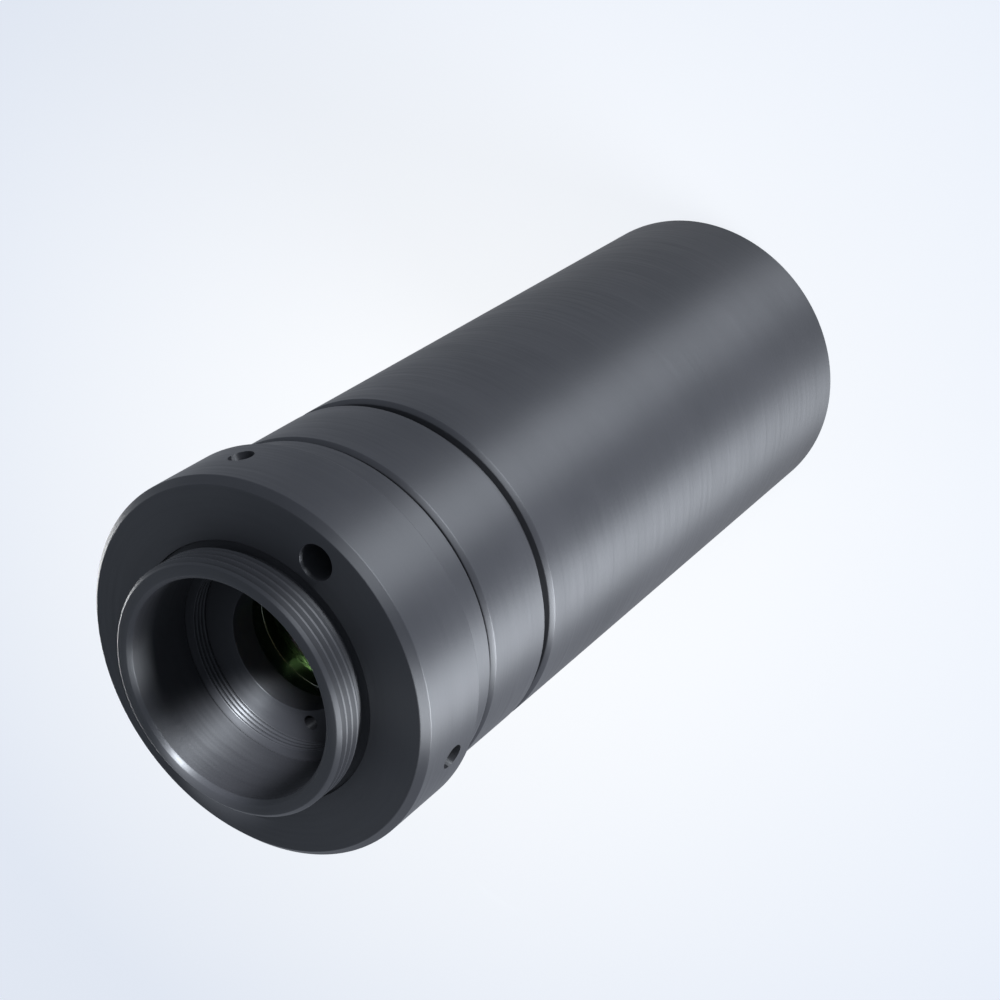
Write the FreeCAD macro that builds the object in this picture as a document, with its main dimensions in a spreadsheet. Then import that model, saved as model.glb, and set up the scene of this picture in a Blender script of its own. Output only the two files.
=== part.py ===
"""Telecentric machine-vision lens with a rotating camera mount.

The part stands on its front rim. Z is the optical axis and points from the
front glass to the camera, and Z = 0 is the plane of the front rim.
Lengths are millimetres.
"""
import FreeCAD
import Part
import os
import Sketcher

doc = FreeCAD.newDocument("telecentric_lens")

# Driving dimensions
SIZES = {
    "barrel_radius": 18.0,
    "front_barrel_length": 66.4,
    "barrel_wall": 4.2,
    "outer_edge_chamfer": 0.4,
    "glass_fit_clearance": 0.05,
    "thread_clearance": 0.04,
    "front_thread_wall": 2.7,
    "front_glass_step": 0.3,
    "front_ring_recess": 0.3,
    "front_ring_length": 4.0,
    "front_ring_width": 2.55,
    "front_ring_relief": 1.0,
    "front_ring_chamfer": 0.3,
    "front_ring_slot_width": 2.7,
    "front_ring_slot_depth": 1.4,
    "front_land_width": 1.0,
    "crown_edge": 3.0,
    "crown_front_curve": 60.0,
    "crown_back_curve": 45.0,
    "flint_edge": 5.0,
    "flint_back_curve": 150.0,
    "front_spacer_length": 2.5,
    "collector_edge": 3.0,
    "collector_curve": 80.0,
    "joint_thread_wall": 2.6,
    "joint_thread_length": 8.0,
    "joint_end_gap": 0.2,
    "joint_groove_depth": 1.1,
    "joint_groove_width": 1.2,
    "baffle_length": 12.0,
    "baffle_wall": 1.2,
    "baffle_lip_width": 4.25,
    "baffle_lip_thickness": 0.8,
    "rear_barrel_length": 9.5,
    "rear_cavity_wall": 3.0,
    "rear_cavity_depth": 5.9,
    "rear_seat_thickness": 1.5,
    "rear_seat_bore_radius": 7.5,
    "rear_bore_radius": 9.9,
    "spigot_wall": 3.0,
    "spigot_length": 8.6,
    "lock_groove_depth": 0.8,
    "lock_groove_setback": 1.3,
    "index_hole_wall": 0.8,
    "index_hole_angle": -72.7,
    "index_hole_depth": 4.4,
    "stop_thickness": 0.6,
    "stop_aperture_radius": 2.6,
    "stop_spacer_length": 3.0,
    "rear_land_width": 0.95,
    "relay_edge": 2.2,
    "relay_front_curve": 30.0,
    "relay_back_curve": 40.0,
    "rear_spacer_length": 3.0,
    "rear_crown_edge": 2.4,
    "rear_crown_front_curve": 28.0,
    "rear_crown_back_curve": 22.0,
    "rear_flint_edge": 3.8,
    "rear_ring_length": 3.0,
    "rear_ring_bore_radius": 6.6,
    "pin_hole_radius": 0.75,
    "pin_hole_wall": 0.5,
    "pin_hole_depth": 1.8,
    "mount_flange_step": 1.0,
    "mount_skirt_length": 2.75,
    "mount_length": 12.2,
    "mount_foot_chamfer": 0.3,
    "mount_face_chamfer": 0.7,
    "mount_face_gap": 0.4,
    "mount_running_clearance": 0.03,
    "mount_end_gap": 0.1,
    "camera_thread_radius": 12.7,
    "camera_thread_length": 4.0,
    "camera_thread_wall": 1.8,
    "camera_thread_chamfer": 0.4,
    "thread_relief_depth": 0.8,
    "thread_relief_width": 0.9,
    "seat_relief_width": 0.3,
    "seat_relief_depth": 0.3,
    "set_screw_radius": 1.25,
    "set_screw_sink": 0.7,
    "set_screw_tip_gap": 0.2,
    "socket_radius": 0.75,
    "socket_depth": 1.5,
}
CUT_OVERRUN = 1.0
SET_SCREW_COUNT = 3
FULL_TURN = 360.0
QUARTER_TURN = 90.0
SLOT_TURN = -43.0
PIN_HOLE_TURN = 153.0
HEX_SIDES = 6
ZERO = "0"
Z_AXIS = FreeCAD.Vector(0, 0, 1)

sheet = doc.addObject("Spreadsheet::Sheet", "Sizes")
for row, (alias, value) in enumerate(SIZES.items(), start=1):
    sheet.set("A%d" % row, alias)
    sheet.set("B%d" % row, str(value))
    sheet.setAlias("B%d" % row, alias)
doc.recompute()


def size(alias):
    """Expression for one cell of the sheet."""
    assert alias in SIZES, alias
    return "Sizes." + alias


def plus(*terms):
    """Expression for a sum of terms."""
    return "(" + " + ".join(terms) + ")"


def minus(first, *rest):
    """Expression for the first term less the others."""
    return "(" + " - ".join((first,) + rest) + ")"


def sag(curve, reach):
    """Expression for the height of a spherical surface over a half width."""
    return "(%s - sqrt(%s ^ 2 - %s ^ 2))" % (curve, curve, reach)


# Heights of the seats above the front rim
front_stack = plus(size("front_ring_recess"), size("front_ring_length"))
flint_seat = plus(front_stack, size("crown_edge"))
spacer_seat = plus(flint_seat, size("flint_edge"))
collector_seat = plus(spacer_seat, size("front_spacer_length"))
front_shoulder = plus(collector_seat, size("collector_edge"))
joint_shoulder = minus(size("front_barrel_length"), size("joint_thread_length"))
pilot_front = plus(joint_shoulder, size("joint_end_gap"))
pilot_length = minus(size("joint_thread_length"), size("joint_end_gap"))
rear_seat = plus(pilot_front, size("rear_cavity_depth"), size("rear_seat_thickness"))
stop_spacer_seat = plus(rear_seat, size("stop_thickness"))
relay_seat = plus(stop_spacer_seat, size("stop_spacer_length"))
rear_spacer_seat = plus(relay_seat, size("relay_edge"))
rear_crown_seat = plus(rear_spacer_seat, size("rear_spacer_length"))
rear_flint_seat = plus(rear_crown_seat, size("rear_crown_edge"))
rear_ring_seat = plus(rear_flint_seat, size("rear_flint_edge"))
rear_face = plus(size("front_barrel_length"), size("joint_groove_width"), size("rear_barrel_length"))
mount_front = plus(rear_face, size("mount_face_gap"))

# Radii of the front end and the tube, inwards from the outside
bore_radius = minus(size("barrel_radius"), size("barrel_wall"))
front_thread_radius = minus(size("barrel_radius"), size("front_thread_wall"))
front_ring_radius = minus(front_thread_radius, size("thread_clearance"))
front_ring_bore = minus(front_thread_radius, size("front_ring_width"))
front_glass_radius = minus(front_thread_radius, size("front_glass_step"))
front_seat_radius = plus(front_glass_radius, size("glass_fit_clearance"))
front_land_radius = minus(front_glass_radius, size("front_land_width"))
baffle_radius = minus(bore_radius, size("glass_fit_clearance"))
baffle_lip_radius = minus(baffle_radius, size("baffle_lip_width"))

# Radii of the joint and the rear end
joint_thread_radius = minus(size("barrel_radius"), size("joint_thread_wall"))
pilot_radius = minus(joint_thread_radius, size("thread_clearance"))
groove_radius = minus(size("barrel_radius"), size("joint_groove_depth"))
rear_cavity_radius = minus(joint_thread_radius, size("rear_cavity_wall"))
rear_glass_radius = minus(size("rear_bore_radius"), size("glass_fit_clearance"))
rear_land_radius = minus(rear_glass_radius, size("rear_land_width"))
spigot_radius = plus(size("rear_bore_radius"), size("spigot_wall"))
lock_groove_radius = minus(spigot_radius, size("lock_groove_depth"))
rear_shoulder_width = minus(size("barrel_radius"), spigot_radius)
mount_radius = plus(size("barrel_radius"), size("mount_flange_step"))


def place(piece, height, turn=0.0):
    """Seat a piece on the optical axis, turned about it by some degrees."""
    piece.Placement = FreeCAD.Placement(FreeCAD.Vector(), FreeCAD.Rotation(Z_AXIS, turn))
    piece.setExpression("Placement.Base.z", height)


def number(expression):
    """Present value of an expression."""
    return float(sheet.evalExpression(expression))


def bind(sketch, kind, side, end, expression):
    """Hold one coordinate of a corner or centre to an expression."""
    held = Sketcher.Constraint(kind, -1, 1, side, end, number(expression))
    place_in_list = sketch.addConstraint(held)
    sketch.setExpression("Constraints[%d]" % place_in_list, expression)


def new_sketch(body, name, role):
    """A sketch on one of the body's own origin planes."""
    sketch = body.newObject("Sketcher::SketchObject", name)
    plane = next(f for f in body.Origin.OriginFeatures if f.Role == role)
    sketch.AttachmentSupport = (plane, [""])
    sketch.MapMode = "FlatFace"
    return sketch


def axis_arc(start, end, curve, side):
    """Counterclockwise arc whose centre is on the axis, above (1) or below (-1) its ends."""
    vertex, rim = sorted((start, end), key=lambda point: point.x)
    centre = rim.y + side * (curve ** 2 - rim.x ** 2) ** 0.5
    middle = (vertex.x + rim.x) / 2
    crest = centre - side * (curve ** 2 - middle ** 2) ** 0.5
    ends = (vertex, rim) if side > 0 else (rim, vertex)
    return Part.Arc(ends[0], FreeCAD.Vector(middle, crest, 0), ends[1])


def profile(body, name, corners, arcs):
    """A closed half section: corners are (radius, height) expressions in turn.

    A radius of None lies on the axis. arcs maps the number of a side to its
    (curve radius expression, side of the centre).
    """
    sketch = new_sketch(body, name, "XZ_Plane")
    points = [FreeCAD.Vector(number(r) if r else 0.0, number(z), 0.0) for r, z in corners]
    count = len(points)
    ends = []
    for i, start in enumerate(points):
        finish = points[(i + 1) % count]
        if i in arcs:
            curve, side = arcs[i]
            sketch.addGeometry(axis_arc(start, finish, number(curve), side), False)
        else:
            sketch.addGeometry(Part.LineSegment(start, finish), False)
        drawn = sketch.Geometry[i]
        near = (drawn.StartPoint - start).Length < (drawn.EndPoint - start).Length
        ends.append((1, 2) if near else (2, 1))
    for i, (r, z) in enumerate(corners):
        after = (i + 1) % count
        sketch.addConstraint(Sketcher.Constraint("Coincident", i, ends[i][1], after, ends[after][0]))
        if r is None:
            sketch.addConstraint(Sketcher.Constraint("PointOnObject", i, ends[i][0], -2))
        else:
            bind(sketch, "DistanceX", i, ends[i][0], r)
        bind(sketch, "DistanceY", i, ends[i][0], z)
    for i in arcs:
        sketch.addConstraint(Sketcher.Constraint("PointOnObject", i, 3, -2))
    return sketch


def turned(name, height, corners, arcs=None, turn=0.0):
    """A turned piece: a half section revolved about the optical axis."""
    body = doc.addObject("PartDesign::Body", name)
    body.Label = name
    section = profile(body, name + "_section", corners, arcs or {})
    revolved = body.newObject("PartDesign::Revolution", name + "_turning")
    revolved.Profile = section
    revolved.ReferenceAxis = (section, ["V_Axis"])
    revolved.Angle = FULL_TURN
    doc.recompute()
    place(body, height, turn)
    return body


def ring(name, height, inner, outer, length):
    """A plain spacer ring."""
    return turned(name, height, [(inner, ZERO), (outer, ZERO), (outer, length), (inner, length)])


def pocket(body, sketch, name, depth=None, reverse=False):
    """Cut a sketch into a body, right through where no depth is given."""
    cut = body.newObject("PartDesign::Pocket", name)
    cut.Profile = sketch
    cut.Reversed = reverse
    if depth is None:
        cut.Type = "ThroughAll"
    else:
        cut.setExpression("Length", depth)
    body.Tip = cut
    doc.recompute()
    return cut


def circle(sketch, radius, x, y):
    """A circle whose radius and centre follow expressions."""
    centre = FreeCAD.Vector(number(x), number(y), 0)
    side = sketch.addGeometry(Part.Circle(centre, Z_AXIS, number(radius)), False)
    held = sketch.addConstraint(Sketcher.Constraint("Radius", side, number(radius)))
    sketch.setExpression("Constraints[%d]" % held, radius)
    bind(sketch, "DistanceX", side, 3, x)
    bind(sketch, "DistanceY", side, 3, y)


def rectangle(sketch, half_length, half_width):
    """A rectangle about the origin."""
    corners = [(-1, -1), (1, -1), (1, 1), (-1, 1)]
    reach = FreeCAD.Vector(number(half_length), number(half_width), 0)
    points = [FreeCAD.Vector(i * reach.x, j * reach.y, 0) for i, j in corners]
    for i, start in enumerate(points):
        sketch.addGeometry(Part.LineSegment(start, points[(i + 1) % len(points)]), False)
    for i, (across, up) in enumerate(corners):
        after = (i + 1) % len(corners)
        sketch.addConstraint(Sketcher.Constraint("Coincident", i, 2, after, 1))
        bind(sketch, "DistanceX", i, 1, "%d * %s" % (across, half_length))
        bind(sketch, "DistanceY", i, 1, "%d * %s" % (up, half_width))


def hexagon(sketch, radius):
    """A regular hexagon about the origin, with one corner on the X axis."""
    around = [FreeCAD.Rotation(Z_AXIS, FULL_TURN * i / HEX_SIDES) for i in range(HEX_SIDES)]
    corner = FreeCAD.Vector(number(radius), 0, 0)
    points = [turn.multVec(corner) for turn in around]
    for i, start in enumerate(points):
        sketch.addGeometry(Part.LineSegment(start, points[(i + 1) % HEX_SIDES]), False)
    guide = sketch.addGeometry(Part.Circle(FreeCAD.Vector(), Z_AXIS, corner.x), True)
    sketch.addConstraint(Sketcher.Constraint("Coincident", guide, 3, -1, 1))
    held = sketch.addConstraint(Sketcher.Constraint("Radius", guide, corner.x))
    sketch.setExpression("Constraints[%d]" % held, radius)
    for i in range(HEX_SIDES):
        after = (i + 1) % HEX_SIDES
        sketch.addConstraint(Sketcher.Constraint("Coincident", i, 2, after, 1))
        sketch.addConstraint(Sketcher.Constraint("PointOnObject", i, 1, guide))
        if i:
            sketch.addConstraint(Sketcher.Constraint("Equal", 0, i))
    sketch.addConstraint(Sketcher.Constraint("PointOnObject", 0, 1, -1))


# Front barrel: one tube with the front thread, the lens seat and the joint thread
barrel_edge_radius = minus(size("barrel_radius"), size("outer_edge_chamfer"))
front_barrel = turned("front_barrel", ZERO, [
    (front_thread_radius, ZERO),
    (barrel_edge_radius, ZERO),
    (size("barrel_radius"), size("outer_edge_chamfer")),
    (size("barrel_radius"), minus(size("front_barrel_length"), size("outer_edge_chamfer"))),
    (barrel_edge_radius, size("front_barrel_length")),
    (joint_thread_radius, size("front_barrel_length")),
    (joint_thread_radius, joint_shoulder),
    (bore_radius, joint_shoulder),
    (bore_radius, front_shoulder),
    (front_seat_radius, front_shoulder),
    (front_seat_radius, front_stack),
    (front_thread_radius, front_stack),
])

# Front retaining ring: relieved behind, so that it bears on the rim of the glass
ring_length = size("front_ring_length")
front_ring = turned("front_retaining_ring", size("front_ring_recess"), [
    (plus(front_ring_bore, size("front_ring_chamfer")), ZERO),
    (front_ring_radius, ZERO),
    (front_ring_radius, ring_length),
    (front_land_radius, ring_length),
    (front_ring_bore, minus(ring_length, size("front_ring_relief"))),
    (front_ring_bore, size("front_ring_chamfer")),
], turn=SLOT_TURN)
slots = new_sketch(front_ring, "spanner_slots_outline", "XY_Plane")
rectangle(slots, plus(front_thread_radius, str(CUT_OVERRUN)),
          size("front_ring_slot_width") + " / 2")
pocket(front_ring, slots, "spanner_slots", size("front_ring_slot_depth"), reverse=True)

# Front group: a cemented pair and a collector, all seated on flat ground rims
glass = front_glass_radius
turned("front_crown_element", front_stack, [
    (front_land_radius, ZERO),
    (glass, ZERO),
    (glass, size("crown_edge")),
    (None, plus(size("crown_edge"), sag(size("crown_back_curve"), glass))),
    (None, "-1 * " + sag(size("crown_front_curve"), front_land_radius)),
], {2: (size("crown_back_curve"), -1), 4: (size("crown_front_curve"), 1)})
turned("front_flint_element", flint_seat, [
    (glass, ZERO),
    (glass, size("flint_edge")),
    (front_land_radius, size("flint_edge")),
    (None, plus(size("flint_edge"), sag(size("flint_back_curve"), front_land_radius))),
    (None, sag(size("crown_back_curve"), glass)),
], {2: (size("flint_back_curve"), -1), 4: (size("crown_back_curve"), -1)})
ring("front_spacer", spacer_seat, front_land_radius, glass, size("front_spacer_length"))
turned("collector_element", collector_seat, [
    (front_land_radius, ZERO),
    (glass, ZERO),
    (glass, size("collector_edge")),
    (None, size("collector_edge")),
    (None, "-1 * " + sag(size("collector_curve"), front_land_radius)),
], {4: (size("collector_curve"), 1)})

# Baffle sleeve: rests on the rear barrel's front end, with its lip towards the front group
baffle_bore = minus(baffle_radius, size("baffle_wall"))
turned("baffle_sleeve", minus(pilot_front, size("baffle_length")), [
    (baffle_lip_radius, ZERO),
    (baffle_radius, ZERO),
    (baffle_radius, size("baffle_length")),
    (baffle_bore, size("baffle_length")),
    (baffle_bore, size("baffle_lip_thickness")),
    (plus(baffle_lip_radius, size("baffle_lip_thickness")), size("baffle_lip_thickness")),
])

# Rear barrel: screwed into the front barrel, with the spigot that carries the mount ring
groove_end = plus(pilot_length, size("joint_groove_width"))
body_end = plus(groove_end, size("rear_barrel_length"))
spigot_end = plus(body_end, size("spigot_length"))
lock_height = minus(spigot_end, size("lock_groove_setback"))
seat_height = plus(size("rear_cavity_depth"), size("rear_seat_thickness"))
rear_barrel = turned("rear_barrel", pilot_front, [
    (rear_cavity_radius, ZERO),
    (pilot_radius, ZERO),
    (pilot_radius, pilot_length),
    (groove_radius, pilot_length),
    (groove_radius, groove_end),
    (barrel_edge_radius, groove_end),
    (size("barrel_radius"), plus(groove_end, size("outer_edge_chamfer"))),
    (size("barrel_radius"), minus(body_end, size("outer_edge_chamfer"))),
    (barrel_edge_radius, body_end),
    (spigot_radius, body_end),
    (spigot_radius, minus(lock_height, size("lock_groove_depth"))),
    (lock_groove_radius, lock_height),
    (spigot_radius, plus(lock_height, size("lock_groove_depth"))),
    (spigot_radius, spigot_end),
    (size("rear_bore_radius"), spigot_end),
    (size("rear_bore_radius"), seat_height),
    (size("rear_seat_bore_radius"), seat_height),
    (size("rear_seat_bore_radius"), size("rear_cavity_depth")),
    (rear_cavity_radius, size("rear_cavity_depth")),
])

# Index hole: in the middle of the shoulder round the spigot, and on through the mount ring
index_radius = minus(rear_shoulder_width + " / 2", size("index_hole_wall"))
index_reach = plus(spigot_radius, rear_shoulder_width + " / 2")
index_x = "%s * cos(%s)" % (index_reach, size("index_hole_angle"))
index_y = "%s * sin(%s)" % (index_reach, size("index_hole_angle"))
index_outline = new_sketch(rear_barrel, "barrel_index_outline", "XY_Plane")
index_outline.setExpression("AttachmentOffset.Base.z", body_end)
circle(index_outline, index_radius, index_x, index_y)
pocket(rear_barrel, index_outline, "barrel_index_hole", size("index_hole_depth"))

# Rear group: stop, relay and a cemented pair, stacked on the rear barrel's seat
turned("aperture_stop", rear_seat, [
    (size("stop_aperture_radius"), ZERO),
    (rear_glass_radius, ZERO),
    (rear_glass_radius, size("stop_thickness")),
    (plus(size("stop_aperture_radius"), size("stop_thickness")), size("stop_thickness")),
])
ring("stop_spacer", stop_spacer_seat, rear_land_radius, rear_glass_radius, size("stop_spacer_length"))
turned("relay_element", relay_seat, [
    (rear_land_radius, ZERO),
    (rear_glass_radius, ZERO),
    (rear_glass_radius, size("relay_edge")),
    (rear_land_radius, size("relay_edge")),
    (None, plus(size("relay_edge"), sag(size("relay_back_curve"), rear_land_radius))),
    (None, "-1 * " + sag(size("relay_front_curve"), rear_land_radius)),
], {3: (size("relay_back_curve"), -1), 5: (size("relay_front_curve"), 1)})
ring("rear_spacer", rear_spacer_seat, rear_land_radius, rear_glass_radius, size("rear_spacer_length"))
turned("rear_crown_element", rear_crown_seat, [
    (rear_land_radius, ZERO),
    (rear_glass_radius, ZERO),
    (rear_glass_radius, size("rear_crown_edge")),
    (None, plus(size("rear_crown_edge"), sag(size("rear_crown_back_curve"), rear_glass_radius))),
    (None, "-1 * " + sag(size("rear_crown_front_curve"), rear_land_radius)),
], {2: (size("rear_crown_back_curve"), -1), 4: (size("rear_crown_front_curve"), 1)})
turned("rear_flint_element", rear_flint_seat, [
    (rear_glass_radius, ZERO),
    (rear_glass_radius, size("rear_flint_edge")),
    (None, size("rear_flint_edge")),
    (None, sag(size("rear_crown_back_curve"), rear_glass_radius)),
], {3: (size("rear_crown_back_curve"), -1)})

# Rear retaining ring: two blind holes take a pin spanner
rear_ring_radius = minus(size("rear_bore_radius"), size("thread_clearance"))
rear_ring = turned("rear_retaining_ring", rear_ring_seat, [
    (size("rear_ring_bore_radius"), ZERO),
    (rear_ring_radius, ZERO),
    (rear_ring_radius, size("rear_ring_length")),
    (size("rear_ring_bore_radius"), size("rear_ring_length")),
], turn=PIN_HOLE_TURN)
pin_outline = new_sketch(rear_ring, "pin_holes_outline", "XY_Plane")
pin_outline.setExpression("AttachmentOffset.Base.z", size("rear_ring_length"))
pin_reach = plus(size("rear_ring_bore_radius"), size("pin_hole_wall"), size("pin_hole_radius"))
circle(pin_outline, size("pin_hole_radius"), pin_reach, ZERO)
circle(pin_outline, size("pin_hole_radius"), "-1 * " + pin_reach, ZERO)
pocket(rear_ring, pin_outline, "pin_holes", size("pin_hole_depth"))

# Camera mount ring: turns on the spigot, held there by three set screws in a vee groove.
# Inside the seat face a shallow recess keeps the face clear of the camera thread.
bearing_radius = plus(spigot_radius, size("mount_running_clearance"))
mount_bore_radius = minus(size("camera_thread_radius"), size("camera_thread_wall"))
thread_relief_radius = minus(size("camera_thread_radius"), size("thread_relief_depth"))
seat_inner_radius = plus(size("camera_thread_radius"), size("seat_relief_width"))
skirt_edge_radius = minus(size("barrel_radius"), size("mount_foot_chamfer"))
mount_pocket = plus(minus(size("spigot_length"), size("mount_face_gap")), size("mount_end_gap"))
flange_start = plus(size("mount_skirt_length"), size("mount_flange_step"))
seat_floor = minus(size("mount_length"), size("seat_relief_depth"))
thread_start = plus(size("mount_length"), size("thread_relief_width"))
mount_end = plus(size("mount_length"), size("camera_thread_length"))
mount_ring = turned("camera_mount_ring", mount_front, [
    (bearing_radius, ZERO),
    (skirt_edge_radius, ZERO),
    (size("barrel_radius"), size("mount_foot_chamfer")),
    (size("barrel_radius"), size("mount_skirt_length")),
    (mount_radius, flange_start),
    (mount_radius, minus(size("mount_length"), size("mount_face_chamfer"))),
    (minus(mount_radius, size("mount_face_chamfer")), size("mount_length")),
    (seat_inner_radius, size("mount_length")),
    (seat_inner_radius, seat_floor),
    (thread_relief_radius, seat_floor),
    (thread_relief_radius, thread_start),
    (size("camera_thread_radius"), thread_start),
    (size("camera_thread_radius"), minus(mount_end, size("camera_thread_chamfer"))),
    (minus(size("camera_thread_radius"), size("camera_thread_chamfer")), mount_end),
    (plus(mount_bore_radius, size("camera_thread_chamfer")), mount_end),
    (mount_bore_radius, minus(mount_end, size("camera_thread_chamfer"))),
    (mount_bore_radius, mount_pocket),
    (bearing_radius, mount_pocket),
])
mount_index_outline = new_sketch(mount_ring, "mount_index_outline", "XY_Plane")
circle(mount_index_outline, index_radius, index_x, index_y)
pocket(mount_ring, mount_index_outline, "mount_index_hole", reverse=True)
screw_height = minus(size("spigot_length"), size("lock_groove_setback"), size("mount_face_gap"))
screw_outline = new_sketch(mount_ring, "set_screw_hole_outline", "XZ_Plane")
circle(screw_outline, size("set_screw_radius"), ZERO, screw_height)
screw_hole = pocket(mount_ring, screw_outline, "set_screw_hole",
                    plus(mount_radius, str(CUT_OVERRUN)))
screw_holes = mount_ring.newObject("PartDesign::PolarPattern", "set_screw_holes")
screw_holes.Originals = [screw_hole]
screw_holes.Axis = (screw_outline, ["V_Axis"])
screw_holes.Angle = FULL_TURN
screw_holes.Occurrences = SET_SCREW_COUNT
mount_ring.Tip = screw_holes
doc.recompute()

# Set screws: cone point in the vee groove, hexagon socket outside
screw_tip = plus(lock_groove_radius, size("set_screw_tip_gap"))
screw_length = minus(mount_radius, size("set_screw_sink"), screw_tip)
for i in range(SET_SCREW_COUNT):
    name = "mount_set_screw_%d" % (i + 1)
    screw = turned(name, ZERO, [
        (size("set_screw_radius"), size("set_screw_radius")),
        (size("set_screw_radius"), screw_length),
        (None, screw_length),
        (None, ZERO),
    ])
    socket = new_sketch(screw, name + "_socket_outline", "XY_Plane")
    socket.setExpression("AttachmentOffset.Base.z", screw_length)
    hexagon(socket, size("socket_radius"))
    pocket(screw, socket, name + "_socket", size("socket_depth"))
    bearing = QUARTER_TURN + i * FULL_TURN / SET_SCREW_COUNT
    lie_down = FreeCAD.Rotation(FreeCAD.Vector(0, 1, 0), QUARTER_TURN)
    screw.Placement = FreeCAD.Placement(FreeCAD.Vector(), FreeCAD.Rotation(Z_AXIS, bearing) * lie_down)
    screw.setExpression("Placement.Base.x", "%s * cos(%s)" % (screw_tip, bearing))
    screw.setExpression("Placement.Base.y", "%s * sin(%s)" % (screw_tip, bearing))
    screw.setExpression("Placement.Base.z", plus(mount_front, screw_height))

doc.recompute()


def check_and_export():
    """Stop on any failed object, then write one file for each piece."""
    for item in doc.Objects:
        if "Invalid" in item.State or "Error" in item.State:
            raise RuntimeError("%s is %s" % (item.Name, item.State))
    bodies = [item for item in doc.Objects if item.TypeId == "PartDesign::Body"]
    for body in bodies:
        if body.Shape.isNull() or not body.Shape.isValid() or len(body.Shape.Solids) != 1:
            raise RuntimeError("%s has no sound solid" % body.Label)
    os.makedirs("parts", exist_ok=True)
    for body in bodies:
        body.Shape.exportStep("parts/%s.step" % body.Label)
        box = body.Shape.BoundBox
        print("%-24s %10.1f mm3  Z %.2f to %.2f" % (body.Label, body.Shape.Volume, box.ZMin, box.ZMax))


check_and_export()
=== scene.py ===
# %% [markdown]
# # A telecentric lens for machine vision
#
# The lens is a straight black tube with a group of glass at each end.
# A ring on the camera end carries a short thread and turns on the tube.
# The measured solids come from the engineering model. This lesson gives them
# soft edges, threads, glass and a black anodised skin, and lights them.

# %% Load the measured solids
import math

import bmesh
import bpy
from mathutils import Matrix
from mathutils import Vector


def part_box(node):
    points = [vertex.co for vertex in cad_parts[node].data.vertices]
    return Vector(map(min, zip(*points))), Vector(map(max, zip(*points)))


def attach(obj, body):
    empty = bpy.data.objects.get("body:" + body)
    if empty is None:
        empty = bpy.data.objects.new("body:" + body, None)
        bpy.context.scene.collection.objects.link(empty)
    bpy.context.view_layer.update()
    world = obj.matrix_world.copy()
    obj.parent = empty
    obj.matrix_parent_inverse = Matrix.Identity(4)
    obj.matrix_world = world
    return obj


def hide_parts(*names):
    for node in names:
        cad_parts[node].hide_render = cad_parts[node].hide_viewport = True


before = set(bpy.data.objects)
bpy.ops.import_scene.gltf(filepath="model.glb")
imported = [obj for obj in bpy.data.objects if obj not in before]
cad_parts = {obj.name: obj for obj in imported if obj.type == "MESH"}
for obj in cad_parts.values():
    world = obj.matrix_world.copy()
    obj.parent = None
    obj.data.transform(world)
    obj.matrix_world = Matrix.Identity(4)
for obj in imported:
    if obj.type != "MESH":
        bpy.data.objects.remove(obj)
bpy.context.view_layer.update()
MM = 0.001

# %% [markdown]
# ## The camera
#
# The picture looks down on the camera end of the lens, and the camera is
# rolled so that the tube runs from the lower left to the upper right.
# A camera is easiest to aim with three unit vectors: the way that is right in
# the picture, the way that is up in it, and the way back towards the viewer.

# %% Place the camera
LENS_WIDTH = 73.79
SENSOR_WIDTH = 36.0
CLIP_START = 0.01
PICTURE_RIGHT = Vector((-0.5746, -0.6296, -0.5229)).normalized()
TOWARDS_VIEWER = Vector((0.0, -0.6389, 0.7693)).normalized()
VIEWPOINT = Vector((-0.1, -139.5, 214.8)) * MM

picture_up = TOWARDS_VIEWER.cross(PICTURE_RIGHT).normalized()
level_right = picture_up.cross(TOWARDS_VIEWER)
turn = Matrix((level_right, picture_up, TOWARDS_VIEWER)).transposed()
camera_data = bpy.data.cameras.new("picture_camera")
camera_data.lens = LENS_WIDTH
camera_data.sensor_width = SENSOR_WIDTH
camera_data.clip_start = CLIP_START
camera = bpy.data.objects.new("picture_camera", camera_data)
camera.matrix_world = Matrix.Translation(VIEWPOINT) @ turn.to_4x4()
bpy.context.scene.collection.objects.link(camera)
bpy.context.scene.camera = camera
print("camera distance in mm:", round(VIEWPOINT.length / MM, 1))

# %% [markdown]
# ## Black anodised aluminium
#
# The dye of a black anodised part sits in a thin clear oxide layer, so it is
# a dark surface with a soft, wide gloss. A lathe also leaves rings that are
# the same all the way round. Noise that is read at the distance from the axis
# and at the height gives just that, on round walls and on flat faces alike.
# The rings also draw each highlight out along the tube, so the gloss is given
# a direction: it is much rougher across the rings than along them.
# A little grain in the relief stands for the pores of the oxide.
# Each noise below is given by its scale and its number of finer layers.

# %% Shader helpers
def new_material(name):
    """A material with its nodes, and its main shader."""
    material = bpy.data.materials.new(name)
    material.use_nodes = True
    shader = material.node_tree.nodes["Principled BSDF"]
    return material, material.node_tree, shader


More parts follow.
